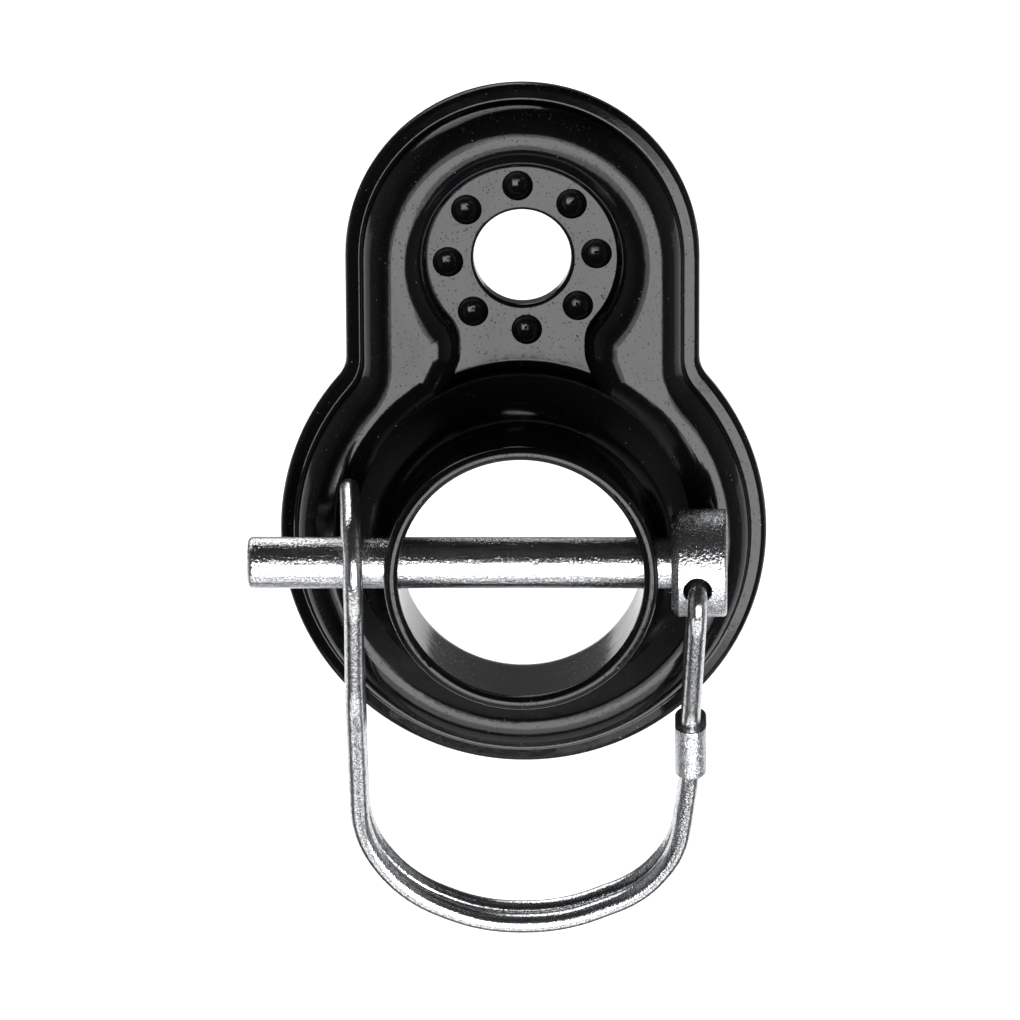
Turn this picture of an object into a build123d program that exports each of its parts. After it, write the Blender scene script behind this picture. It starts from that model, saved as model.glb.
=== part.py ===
from build123d import *
from math import acos, cos, degrees, radians, sin, sqrt
import os

# Bicycle-trailer hitch coupler: a pressed steel plate that bolts to the rear axle, with a
# drawn collar that takes the trailer's tow bar, and a wire-lock pin through the collar.
#
# Row frame, millimetres: the plate stands upright, +Z towards the axle end, -Y out of the
# plate's front (the collar side), +X towards the pin's head. The origin is the centre of
# the axle hole on the back clamp face.
#
# Each piece is first drawn flat, in a bench frame: x to the right, y towards the axle end,
# z up out of the front, with z = 0 on the back clamp face.

# ---- driving dimensions -------------------------------------------------------------
SHEET = 2.3                 # steel sheet
AXLE_LOBE_R = 21.8          # outline round the axle hole
HITCH_LOBE_R = 30.15        # outline round the collar
CENTRES = 35.1              # axle hole to collar axis
WAIST_R = 4.0               # hollow corner between the two lobes
LIP_W = 2.1                 # lip outside the raised rib
LIP_SLOPE_W = 1.65          # its outer part slopes back
LIP_SLOPE_DROP = 0.36
LIP_FRONT_R = 0.9           # rounding of its front and back edges
LIP_BACK_R = 0.5
RIB_H = 4.2                 # rib crest above the lip
RIB_R = 3.7                 # rounding of the rib's outer shoulder
CORNER_R = 0.35             # foot of the rib, and where the lip starts to slope

AXLE_HOLE_R = 6.0
AXLE_HOLE_EDGE_R = 0.5
PAD_R = 11.6                # flat seat round the axle hole
PAD_NECK_HALF = 7.6
PAD_NECK_Y = -12.6
PAD_FLARE_HALF = 9.6
PAD_FLARE_Y = -18.0
PAD_END_Y = -23.1           # it runs on under the collar
PAD_NECK_R = 4.5
PAD_SHOULDER_R = 4.1        # rounding of the rib's inner shoulder

GRIP_COUNT = 8              # punched grip dimples
GRIP_CIRCLE_R = 9.14
GRIP_FIRST_DEG = 93.3
GRIP_PIT_R = 1.9
GRIP_PIT_DEPTH = 1.3
GRIP_BUMP_R = 1.5
GRIP_BUMP_H = 0.8

BORE_R = 15.0               # collar bore
COLLAR_R = 16.73            # collar outside
COLLAR_TOP = SHEET + 20.7   # collar rim above the clamp face
RIM_EDGE_R = 0.8
BOSS_R = 21.3               # wall between the pad and the collar
BOSS_FOOT_R = 0.9
CREASE_R = 20.9             # foot of the collar
CREASE_Z = SHEET + 3.2
COLLAR_SWEEP_R = 8.34       # hollow sweep from the foot up to the tube
GROOVE_OUT_R = 24.05        # rib crest round the collar
GROOVE_R = 2.4              # rounding from the crest into the groove
GROOVE_TILT = 25.0          # degrees, slope down to the foot of the collar
FLARE_R = 6.5               # trumpet of the bore at the back
WALL = 2.1                  # pressed wall thickness seen from the back
CEILING_Z = 3.9             # underside of the rib
OVERLAP = 0.5               # how far the collar's foot is sunk in the boss
PAST = 1.0                  # how far a cutting shape runs past the metal

PIN_R = 3.175               # quarter-inch pin
PIN_Z = SHEET + 14.6        # pin axis above the clamp face
PIN_Y = 0.4 - CENTRES       # a little nearer the axle than the collar's middle
PIN_TIP_X = -33.5
PIN_TIP_R = 0.7
CROSS_HOLE_R = PIN_R + 0.07
HEAD_R = 6.6
HEAD_X0 = 18.3
HEAD_X1 = 25.1
HEAD_CHAMFER = 0.9
HEAD_EDGE_R = 0.5
RIVET_INSET = 0.3           # the shank's end sits a little inside the head

WIRE_R = 1.19               # 3/32 in spring wire
WIRE_HOLE_R = 1.8
WIRE_END = 1.6              # how near the pin's axis each wire end comes
BAIL_LEAN = 15.5            # degrees, lower end towards the plate
BAIL_PIVOT_X = 21.5         # cross hole of the head
BAIL_DROP = 52.7            # pin axis to the bottom of the loop
CLOSED_X = -20.8            # closed end of the bail, round the shank
CLOSED_TOP = 8.0            # pin axis to the closed end
CLOSED_HALF = 8.8           # half spacing of the two strands there
CLOSED_R = 5.8
CLOSED_SKEW = 0.5           # the closed end is twisted, its front strand to the right
STRAND_HEAD = 8.5           # half spacing beside the head
STRAND_PINCH = 1.2          # half spacing inside the sleeve
STRAND_LOOP = 1.5           # half spacing at the bottom of the loop
SLEEVE_X = 20.75
SLEEVE_TOP = -23.0
SLEEVE_END = -30.1
SLEEVE_WALL = 0.75
SLEEVE_END_R = 0.45         # rounding of its lower and upper ends
SLEEVE_TOP_R = 0.22
SLEEVE_GAP = 0.02


def keyhole(inset):
    """Plate outline, moved inwards by inset."""
    small = Circle(AXLE_LOBE_R - inset)
    large = Pos(0, -CENTRES) * Circle(HITCH_LOBE_R - inset)
    sides = Pos(0, -CENTRES / 2) * Rectangle(2 * (AXLE_LOBE_R - inset), CENTRES)
    face = small + large + sides
    reach = HITCH_LOBE_R - inset
    half = AXLE_LOBE_R - inset
    corner_y = -CENTRES + sqrt(reach**2 - half**2)
    corners = [v for v in face.vertices() if abs(v.Y - corner_y) < 0.01]
    return fillet(corners, WAIST_R + inset)


def pad_outline(grow):
    """Keyhole-shaped seat round the axle hole, run on down under the collar."""
    disc = Circle(PAD_R + grow)
    neck_half = PAD_NECK_HALF + grow
    flare_half = PAD_FLARE_HALF + grow
    join_y = -sqrt((PAD_R + grow) ** 2 - neck_half**2)
    neck = make_face(
        Polyline(
            (-neck_half, 0),
            (-neck_half, PAD_NECK_Y),
            (-flare_half, PAD_FLARE_Y),
            (-flare_half, PAD_END_Y),
            (flare_half, PAD_END_Y),
            (flare_half, PAD_FLARE_Y),
            (neck_half, PAD_NECK_Y),
            (neck_half, 0),
            close=True,
        )
    )
    face = disc + neck
    joins = [v for v in face.vertices() if abs(v.Y - join_y) < 0.01]
    face = fillet(joins, PAD_NECK_R)
    bends = [v for v in face.vertices() if abs(v.Y - PAD_NECK_Y) < 0.01]
    return fillet(bends, PAD_NECK_R)


def level_edges(part, z, tolerance=0.01):
    """Edges of a part that lie wholly at one height."""
    found = []
    for edge in part.edges():
        box = edge.bounding_box()
        if abs(box.min.Z - z) < tolerance and abs(box.max.Z - z) < tolerance:
            found.append(edge)
    return ShapeList(found)


def turned(outline):
    """Solid of revolution about the collar axis, from (radius, height) wires."""
    profile = Plane.XZ * make_face(outline)
    return Pos(0, -CENTRES, 0) * revolve(profile, Axis.Z)


def sloped_lip():
    """Flat blank whose edge slopes back a little all round and is rounded off."""
    blank = extrude(keyhole(0), SHEET)
    front = blank.faces().sort_by(Axis.Z)[-1]
    slope = chamfer(front.edges(), LIP_SLOPE_W, LIP_SLOPE_DROP, reference=front)
    lip = fillet(level_edges(slope, SHEET - LIP_SLOPE_DROP), LIP_FRONT_R)
    return fillet(level_edges(lip, 0), LIP_BACK_R)


def raised_plate():
    """Lip and rib, with the seat round the axle hole pressed back to the lip's level."""
    top = SHEET + RIB_H
    lip = sloped_lip()
    rib = extrude(keyhole(LIP_W), top)
    rib = fillet(level_edges(rib, top), RIB_R)
    plate = lip + rib
    plate = fillet(level_edges(plate, SHEET), CORNER_R)
    plate -= Pos(0, 0, SHEET) * extrude(pad_outline(0), RIB_H + PAST)
    return fillet(level_edges(plate, top), PAD_SHOULDER_R)


def hollow_back():
    """The space behind the rib: inside the wall, outside the seat."""
    inside = extrude(keyhole(LIP_W + WALL), CEILING_Z)
    inside = fillet(level_edges(inside, CEILING_Z), RIB_R - WALL)
    seat = extrude(pad_outline(WALL), CEILING_Z + PAST)
    shaft = Pos(0, -CENTRES) * extrude(Circle(BOSS_R - WALL), CEILING_Z)
    return inside - seat + shaft


def boss():
    """Wall that closes the seat off from the collar, with its rounded foot."""
    arc_x = BOSS_R + BOSS_FOOT_R
    arc_z = SHEET + BOSS_FOOT_R
    foot = CenterArc((arc_x, arc_z), BOSS_FOOT_R, 180, 90)
    rest = Polyline(
        (arc_x, SHEET),
        (arc_x, 0),
        (BORE_R, 0),
        (BORE_R, SHEET + RIB_H),
        (BOSS_R, SHEET + RIB_H),
        (BOSS_R, arc_z),
    )
    return turned([foot, rest])


def groove():
    """Cut between the rib's crest and the foot of the collar."""
    top = SHEET + RIB_H
    arc_x = GROOVE_OUT_R - GROOVE_R * sin(radians(GROOVE_TILT))
    arc_z = top - GROOVE_R * (1 - cos(radians(GROOVE_TILT)))
    shoulder = CenterArc((GROOVE_OUT_R, top - GROOVE_R), GROOVE_R, 90, GROOVE_TILT)
    rest = Polyline(
        (arc_x, arc_z),
        (CREASE_R, CREASE_Z),
        (BORE_R, CREASE_Z),
        (BORE_R, top + PAST),
        (GROOVE_OUT_R, top + PAST),
        (GROOVE_OUT_R, top),
    )
    return turned([shoulder, rest])


def collar():
    """Drawn collar: swept foot and straight tube."""
    reach = COLLAR_SWEEP_R - (CREASE_R - COLLAR_R)
    angle = degrees(acos(reach / COLLAR_SWEEP_R))
    centre_z = CREASE_Z + COLLAR_SWEEP_R * sin(radians(angle))
    hollow = CenterArc((COLLAR_R + COLLAR_SWEEP_R, centre_z), COLLAR_SWEEP_R, 180, angle)
    rest = Polyline(
        (CREASE_R, CREASE_Z),
        (CREASE_R - OVERLAP, CREASE_Z - OVERLAP),
        (BORE_R, CREASE_Z - OVERLAP),
        (BORE_R, COLLAR_TOP),
        (COLLAR_R, COLLAR_TOP),
        (COLLAR_R, centre_z),
    )
    tube = turned([hollow, rest])
    return fillet(level_edges(tube, COLLAR_TOP), RIM_EDGE_R)


def bore():
    """Straight bore of the collar, opening out like a trumpet at the back."""
    start_z = CEILING_Z + FLARE_R
    flare = CenterArc((BORE_R + FLARE_R, start_z), FLARE_R, 180, 90)
    rest = Polyline(
        (BORE_R + FLARE_R, CEILING_Z),
        (0, CEILING_Z),
        (0, COLLAR_TOP + PAST),
        (BORE_R, COLLAR_TOP + PAST),
        (BORE_R, start_z),
    )
    mouth = Pos(0, -CENTRES) * extrude(Circle(BOSS_R - WALL), COLLAR_TOP + PAST)
    return turned([flare, rest]) & mouth


def cap(radius, depth):
    """Ball whose slice of the given depth has the given radius, resting on z = 0."""
    ball = (radius**2 + depth**2) / (2 * depth)
    return Pos(0, 0, depth - ball) * Sphere(ball)


def coupler_plate():
    """The pressing: lip, rib, seat, grip dimples, drawn collar and its two pin holes."""
    plate = raised_plate() + boss() - groove() + collar()
    plate -= hollow_back()
    plate -= bore()
    plate -= extrude(Circle(AXLE_HOLE_R), SHEET)
    circles = level_edges(plate, SHEET).filter_by(GeomType.CIRCLE)
    rim = circles.filter_by(lambda edge: abs(edge.radius - AXLE_HOLE_R) < 0.01)
    plate = fillet(rim, AXLE_HOLE_EDGE_R)
    pit = Pos(0, 0, SHEET) * Rot(180, 0, 0) * cap(GRIP_PIT_R, GRIP_PIT_DEPTH)
    bump = Rot(180, 0, 0) * cap(GRIP_BUMP_R, GRIP_BUMP_H)
    places = PolarLocations(GRIP_CIRCLE_R, GRIP_COUNT, GRIP_FIRST_DEG)
    plate += [place * bump for place in places]
    plate -= [place * pit for place in places]
    cross = Cylinder(CROSS_HOLE_R, 2 * HEAD_X0, rotation=(0, 90, 0))
    return plate - Pos(0, PIN_Y, PIN_Z) * cross


def along_pin(radius, x0, x1):
    """Round bar on the pin's axis from x0 to x1."""
    bar = Cylinder(radius, x1 - x0, rotation=(0, 90, 0))
    return Pos((x0 + x1) / 2, PIN_Y, PIN_Z) * bar


def end_edges(part, x):
    """Edges of a part that lie wholly at one x."""
    found = []
    for edge in part.edges():
        box = edge.bounding_box()
        if abs(box.min.X - x) < 0.01 and abs(box.max.X - x) < 0.01:
            found.append(edge)
    return found


def bail_point(x, along, out):
    """Point of the leaning bail: along it from the pin's axis, and out from its middle."""
    lean = radians(BAIL_LEAN)
    y = PIN_Y + along * cos(lean) - out * sin(lean)
    z = PIN_Z + along * sin(lean) + out * cos(lean)
    return (x, y, z)


def wire_hole():
    """Cross hole of the pin's head, which the two wire ends turn in."""
    start = Vector(*bail_point(BAIL_PIVOT_X, 0, -HEAD_R - PAST))
    end = Vector(*bail_point(BAIL_PIVOT_X, 0, HEAD_R + PAST))
    face = Plane(origin=start, z_dir=end - start) * Circle(WIRE_HOLE_R)
    return extrude(face, (end - start).length)


def pin_shank():
    """Round pin, with its end riveted over flush in the head."""
    shank = along_pin(PIN_R, PIN_TIP_X, HEAD_X1 - RIVET_INSET)
    shank = fillet(end_edges(shank, PIN_TIP_X), PIN_TIP_R)
    return shank - wire_hole()


def pin_head():
    """Collar pressed on the end of the pin."""
    head = along_pin(HEAD_R, HEAD_X0, HEAD_X1)
    head = chamfer(end_edges(head, HEAD_X0), HEAD_CHAMFER)
    head = fillet(end_edges(head, HEAD_X1), HEAD_EDGE_R)
    head -= along_pin(PIN_R, HEAD_X0, HEAD_X1)
    return head - wire_hole()


def strand(side):
    """Corners and bend radii of the front (1) or back (-1) strand, head to closed end."""
    closed_x = CLOSED_X + side * CLOSED_SKEW
    corners = [
        ((BAIL_PIVOT_X, 0, WIRE_END), None),
        ((BAIL_PIVOT_X, 0, STRAND_HEAD), 2.0),
        ((BAIL_PIVOT_X - 0.1, -4.0, STRAND_HEAD - 0.5), 8.0),
        ((SLEEVE_X, -21.8, STRAND_PINCH), 10.0),
        ((20.6, -31.3, STRAND_PINCH), 14.0),
        ((19.2, -42.0, STRAND_LOOP), 13.5),
        ((14.6, -48.2, STRAND_LOOP), 13.5),
        ((4.6, -BAIL_DROP, STRAND_LOOP), 21.0),
        ((-5.3, -BAIL_DROP, STRAND_LOOP), 20.0),
        ((-14.9, -48.2, STRAND_LOOP), 17.0),
        ((-20.4, -39.8, STRAND_LOOP), 16.0),
        ((-20.7, -18.0, 2.6), 16.0),
        ((closed_x, -1.0, 0.95 * CLOSED_HALF), 16.0),
        ((closed_x, CLOSED_TOP, CLOSED_HALF), CLOSED_R),
    ]
    return [((x, along, side * out), bend) for (x, along, out), bend in corners]


def bail_wire():
    """One spring wire: down one strand, over the closed end and back up the other."""
    route = strand(1) + strand(-1)[::-1]
    points = [bail_point(*place) for place, bend in route]
    bends = [bend for place, bend in route[1:-1]]
    path = FilletPolyline(*points, radius=bends)
    section = Plane(origin=path @ 0, z_dir=path % 0) * Circle(WIRE_R)
    wire = sweep(section, path=path)
    share = wire.volume / (section.area * path.length)
    print(f"bail wire {path.length:.1f} mm long, volume over section times length {share:.3f}")
    return wire


def crimp_sleeve():
    """Flat sleeve that pinches the two strands together."""
    lean = radians(BAIL_LEAN)
    axis = Vector(0, cos(lean), sin(lean))
    length = SLEEVE_TOP - SLEEVE_END
    start = Plane(origin=bail_point(SLEEVE_X, SLEEVE_END, 0), x_dir=(1, 0, 0), z_dir=axis)
    inner_r = WIRE_R + SLEEVE_GAP
    outer_r = inner_r + SLEEVE_WALL
    outer = extrude(SlotCenterToCenter(2 * STRAND_PINCH, 2 * outer_r, rotation=90), length)
    outer = fillet(level_edges(outer, 0), SLEEVE_END_R)
    outer = fillet(level_edges(outer, length), SLEEVE_TOP_R)
    inner = extrude(SlotCenterToCenter(2 * STRAND_PINCH, 2 * inner_r, rotation=90), length)
    return start * (outer - inner)


PIECES = {
    "coupler_plate": coupler_plate,
    "pin_shank": pin_shank,
    "pin_head": pin_head,
    "bail_wire": bail_wire,
    "crimp_sleeve": crimp_sleeve,
}

if __name__ == "__main__":
    os.makedirs("parts", exist_ok=True)
    row_frame = Plane(origin=(0, 0, 0), x_dir=(1, 0, 0), z_dir=(0, -1, 0)).location
    for name, build in PIECES.items():
        piece = row_frame * build()
        export_step(piece, f"parts/{name}.step")
        print(f"{name}: {piece.volume:.0f} mm3")
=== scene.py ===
from math import cos, pi, radians, sin

import bpy
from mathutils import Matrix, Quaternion, Vector


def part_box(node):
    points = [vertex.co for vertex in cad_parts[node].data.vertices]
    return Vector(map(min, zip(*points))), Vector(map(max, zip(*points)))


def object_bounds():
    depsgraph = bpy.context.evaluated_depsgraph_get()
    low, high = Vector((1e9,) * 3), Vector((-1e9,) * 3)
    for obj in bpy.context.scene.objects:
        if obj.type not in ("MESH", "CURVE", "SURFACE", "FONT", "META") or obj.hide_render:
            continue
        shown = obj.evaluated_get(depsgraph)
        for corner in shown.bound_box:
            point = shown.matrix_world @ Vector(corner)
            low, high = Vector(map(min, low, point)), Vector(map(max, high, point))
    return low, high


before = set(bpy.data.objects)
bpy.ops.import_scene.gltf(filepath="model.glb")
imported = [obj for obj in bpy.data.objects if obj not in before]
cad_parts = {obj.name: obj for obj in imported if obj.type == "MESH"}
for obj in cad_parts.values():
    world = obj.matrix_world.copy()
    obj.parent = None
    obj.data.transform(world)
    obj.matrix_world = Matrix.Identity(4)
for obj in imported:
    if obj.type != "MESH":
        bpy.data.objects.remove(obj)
cad_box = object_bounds()

# ---- camera: a long lens, a little above the coupler and a touch to its right -------------
HITCH_LOBE_R = 0.03015  # plate's outline round the collar
PLATE_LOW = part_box("coupler_plate")[0]
COLLAR_Z = PLATE_LOW.z + HITCH_LOBE_R
ELEVATION = radians(16.55)
AZIMUTH = radians(1.05)
ROLL = radians(0.28)
DISTANCE = 1.010
SENSOR = 36  # millimetres, as wide as the picture
FOCAL_OVER_WIDTH = 8150 / 1020  # focal length over the picture's width
AIM_X = -0.00165
AIM_Y = -0.0023
AIM_OVER_COLLAR = 0.00277
AIM = Vector((AIM_X, AIM_Y, COLLAR_Z + AIM_OVER_COLLAR))

# ---- floor --------------------------------------------------------------------------------
FLOOR_DROP = 0.02  # under the lowest point of the bail
FLOOR_HALF_WIDTH = 2.5
FLOOR_NEAR_Y = 0.02  # just behind the plate
FLOOR_FAR_Y = 4

# ---- colours ------------------------------------------------------------------------------
WHITE = (1, 1, 1, 1)
FLOOR_WHITE = (0.9, 0.9, 0.9, 1)
COAT_BLACK = (0.0025, 0.0025, 0.003)
DUST_GREY = (0.13, 0.13, 0.13)
ZINC_BRIGHT = (0.86, 0.87, 0.88)
ZINC_DARK = (0.22, 0.23, 0.25)


def add_camera():
    """Makes the scene's camera, turned a little about its own line of sight."""
    back = Vector((sin(AZIMUTH) * cos(ELEVATION), -cos(AZIMUTH) * cos(ELEVATION), sin(ELEVATION)))
    data = bpy.data.cameras.new("camera")
    data.sensor_width = SENSOR
    data.lens = FOCAL_OVER_WIDTH * SENSOR
    data.clip_start = 0.05
    data.clip_end = 20
    camera = bpy.data.objects.new("camera", data)
    camera.location = AIM + back * DISTANCE
    camera.rotation_mode = "QUATERNION"
    camera.rotation_quaternion = (-back).to_track_quat("-Z", "Y") @ Quaternion((0, 0, 1), -ROLL)
    bpy.context.scene.collection.objects.link(camera)
    bpy.context.scene.camera = camera


# ---- small helpers for node materials -----------------------------------------------------
class Nodes:
    """A material's or world's node tree, with short calls to add and join nodes."""

    def __init__(self, tree):
        self.tree = tree
        tree.nodes.clear()

    def add(self, kind, **settings):
        node = self.tree.nodes.new(kind)
        for name, value in settings.items():
            setattr(node, name, value)
        return node

    def join(self, source, target):
        self.tree.links.new(source, target)

    def math(self, operation, a, b=None):
        node = self.add("ShaderNodeMath", operation=operation)
        self.join(a, node.inputs[0])
        if b is not None:
            self.join(b, node.inputs[1])
        return node.outputs[0]

    def noise(self, vector, scale, detail=2.0, roughness=0.5):
        node = self.add("ShaderNodeTexNoise")
        node.inputs["Scale"].default_value = scale
        node.inputs["Detail"].default_value = detail
        node.inputs["Roughness"].default_value = roughness
        self.join(vector, node.inputs["Vector"])
        return node.outputs["Fac"]

    def stretched(self, scale):
        """Place on the object, multiplied along each axis."""
        place = self.add("ShaderNodeTexCoord")
        mapping = self.add("ShaderNodeMapping")
        mapping.inputs["Scale"].default_value = scale
        self.join(place.outputs["Object"], mapping.inputs["Vector"])
        return mapping.outputs["Vector"]

    def spread(self, value, low, high, to_low, to_high):
        """Takes low to high over to to_low to to_high, and stops at both ends."""
        node = self.add("ShaderNodeMapRange")
        node.clamp = True
        node.inputs["From Min"].default_value = low
        node.inputs["From Max"].default_value = high
        node.inputs["To Min"].default_value = to_low
        node.inputs["To Max"].default_value = to_high
        self.join(value, node.inputs["Value"])
        return node.outputs["Result"]

    def bump(self, height, distance, strength, under=None):
        """Normal of a height that is distance metres deep, on top of the normal under it."""
        node = self.add("ShaderNodeBump")
        node.inputs["Distance"].default_value = distance
        node.inputs["Strength"].default_value = strength
        self.join(height, node.inputs["Height"])
        if under is not None:
            self.join(under, node.inputs["Normal"])
        return node.outputs["Normal"]

    def blend(self, fac, a, b):
        """Colour a where fac is 0 and b where it is 1."""
        node = self.add("ShaderNodeMix", data_type="RGBA")
        node.inputs[6].default_value = (*a, 1)
        node.inputs[7].default_value = (*b, 1)
        self.join(fac, node.inputs[0])
        return node.outputs[2]


def new_material(name):
    """New material with a Principled surface, and with it its nodes and that shader."""
    material = bpy.data.materials.new(name)
    material.use_nodes = True
    nodes = Nodes(material.node_tree)
    output = nodes.add("ShaderNodeOutputMaterial")
    shader = nodes.add("ShaderNodeBsdfPrincipled")
    nodes.join(shader.outputs[0], output.inputs["Surface"])
    return material, nodes, shader


def black_coating():
    """Glossy black coating on pressed steel: faint orange peel, specks of dust and dull smears."""
    material, nodes, shader = new_material("black_coating")
    even = nodes.stretched((1, 1, 1))
    peel = nodes.noise(even, scale=700, detail=3)
    ripple = nodes.noise(even, scale=110, detail=2)
    normal = nodes.bump(peel, distance=0.00003, strength=0.6)
    normal = nodes.bump(ripple, distance=0.00015, strength=0.4, under=normal)
    specks = nodes.spread(nodes.noise(even, scale=3200, detail=1), 0.70, 0.74, 0, 1)
    normal = nodes.bump(specks, distance=0.00008, strength=0.8, under=normal)
    nodes.join(normal, shader.inputs["Normal"])
    dust = nodes.spread(nodes.noise(even, scale=2600, detail=1), 0.77, 0.81, 0, 1)
    nodes.join(nodes.blend(dust, COAT_BLACK, DUST_GREY), shader.inputs["Base Color"])
    dull = nodes.noise(even, scale=170, detail=4, roughness=0.6)
    smear = nodes.spread(dull, 0.3, 0.7, 0.09, 0.17)
    nodes.join(smear, shader.inputs["Roughness"])
    shader.inputs["IOR"].default_value = 1.3
    return material


def zinc(name, along, frost, smooth, rough):
    """Zinc plating: drawn lines, a frosted grain, dark specks and dull patches.

    The lines run along X, Y or Z for along 0, 1 or 2, and for None they are even blotches.
    frost is the grain's depth in metres, and smooth to rough is the range of the roughness.
    """
    material, nodes, shader = new_material(name)
    across_lines = 2600
    along_lines = 160
    stretch = [across_lines] * 3
    if along is not None:
        stretch[along] = along_lines
    lines = nodes.noise(nodes.stretched(stretch), scale=1, detail=3, roughness=0.6)
    even = nodes.stretched((1, 1, 1))
    grain = nodes.noise(even, scale=3300, detail=2, roughness=0.7)
    patches = nodes.noise(even, scale=300, detail=4, roughness=0.6)
    normal = nodes.bump(lines, distance=0.00006, strength=0.7)
    normal = nodes.bump(grain, distance=frost, strength=0.9, under=normal)
    nodes.join(normal, shader.inputs["Normal"])
    fine = nodes.noise(even, scale=5200, detail=2, roughness=0.7)
    specks = nodes.spread(fine, 0.42, 0.60, 0.8, 0)
    streaks = nodes.spread(lines, 0.56, 0.64, 0, 0.9)
    marks = nodes.math("MAXIMUM", specks, streaks)
    nodes.join(nodes.blend(marks, ZINC_BRIGHT, ZINC_DARK), shader.inputs["Base Color"])
    nodes.join(nodes.spread(patches, 0.3, 0.7, smooth, rough), shader.inputs["Roughness"])
    shader.inputs["Metallic"].default_value = 0.97
    return material


def dress(node, material):
    """Gives a CAD node its material, and leaves its shape as it is."""
    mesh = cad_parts[node].data
    mesh.materials.clear()
    mesh.materials.append(material)


# ---- light --------------------------------------------------------------------------------
def direction(azimuth, elevation):
    """Unit vector from the part: azimuth 0 is straight out of its front, positive to +X."""
    a = radians(azimuth)
    e = radians(elevation)
    return Vector((sin(a) * cos(e), -cos(a) * cos(e), sin(e)))


def soft_panel(name, azimuth, elevation, distance, width, height, radiance):
    """A white rectangular soft light aimed at the part, which the camera itself doesn't see."""
    data = bpy.data.lights.new(name, "AREA")
    data.shape = "RECTANGLE"
    data.size = width
    data.size_y = height
    data.energy = radiance * width * height * pi
    light = bpy.data.objects.new(name, data)
    out = direction(azimuth, elevation)
    light.location = AIM + out * distance
    light.rotation_mode = "QUATERNION"
    light.rotation_quaternion = (-out).to_track_quat("-Z", "Y")
    light.visible_camera = False
    bpy.context.scene.collection.objects.link(light)


def add_world():
    """White to the camera. To the part, dim behind, at both sides and below, and dark elsewhere."""
    world = bpy.data.worlds.new("studio")
    world.use_nodes = True
    bpy.context.scene.world = world
    nodes = Nodes(world.node_tree)
    output = nodes.add("ShaderNodeOutputWorld")
    seen = nodes.add("ShaderNodeBackground")
    seen.inputs["Color"].default_value = WHITE
    seen.inputs["Strength"].default_value = 1.1
    felt = nodes.add("ShaderNodeBackground")
    place = nodes.add("ShaderNodeTexCoord")
    split = nodes.add("ShaderNodeSeparateXYZ")
    nodes.join(place.outputs["Generated"], split.inputs[0])
    behind = nodes.spread(split.outputs["Y"], 0.6, 0.92, 0.01, 0.22)
    aside = nodes.spread(nodes.math("ABSOLUTE", split.outputs["X"]), 0.6, 0.95, 0.0, 0.28)
    below = nodes.spread(split.outputs["Z"], -0.97, -0.85, 0.25, 0.0)
    level = nodes.math("MAXIMUM", nodes.math("MAXIMUM", behind, aside), below)
    nodes.join(level, felt.inputs["Strength"])
    felt.inputs["Color"].default_value = WHITE
    path = nodes.add("ShaderNodeLightPath")
    mix = nodes.add("ShaderNodeMixShader")
    nodes.join(path.outputs["Is Camera Ray"], mix.inputs[0])
    nodes.join(felt.outputs[0], mix.inputs[1])
    nodes.join(seen.outputs[0], mix.inputs[2])
    nodes.join(mix.outputs[0], output.inputs["Surface"])


def add_floor():
    """Plain white floor, lower than the bail and behind the plate, which glows to stay white."""
    mesh = bpy.data.meshes.new("floor")
    half = FLOOR_HALF_WIDTH
    z = cad_box[0].z - FLOOR_DROP
    corners = [
        (-half, FLOOR_NEAR_Y, z),
        (half, FLOOR_NEAR_Y, z),
        (half, FLOOR_FAR_Y, z),
        (-half, FLOOR_FAR_Y, z),
    ]
    mesh.from_pydata(corners, [], [(0, 1, 2, 3)])
    floor = bpy.data.objects.new("floor", mesh)
    bpy.context.scene.collection.objects.link(floor)
    material, nodes, shader = new_material("floor_white")
    shader.inputs["Base Color"].default_value = FLOOR_WHITE
    shader.inputs["Roughness"].default_value = 0.9
    shader.inputs["Emission Color"].default_value = WHITE
    path = nodes.add("ShaderNodeLightPath")
    glow = nodes.spread(path.outputs["Is Camera Ray"], 0, 1, 0.9, 1.0)
    nodes.join(glow, shader.inputs["Emission Strength"])
    mesh.materials.append(material)


add_camera()
add_world()
add_floor()
soft_panel("front_panel", azimuth=15, elevation=-14, distance=1.6, width=1.15, height=0.85, radiance=6.6)
soft_panel("wide_panel", azimuth=12, elevation=-18, distance=1.7, width=1.65, height=1.6, radiance=4.4)
soft_panel("low_panel", azimuth=5, elevation=-71, distance=0.9, width=1.6, height=0.46, radiance=1.4)
soft_panel("rear_panel", azimuth=210, elevation=50, distance=1.5, width=1.3, height=0.9, radiance=2.8)

dress("coupler_plate", black_coating())
dress("pin_shank", zinc("zinc_shank", along=0, frost=0.00009, smooth=0.13, rough=0.24))
dress("pin_head", zinc("zinc_head", along=None, frost=0.00012, smooth=0.16, rough=0.28))
dress("bail_wire", zinc("zinc_wire", along=2, frost=0.00003, smooth=0.12, rough=0.20))
dress("crimp_sleeve", zinc("zinc_sleeve", along=None, frost=0.00014, smooth=0.14, rough=0.28))

bpy.context.scene.view_settings.view_transform = "Standard"
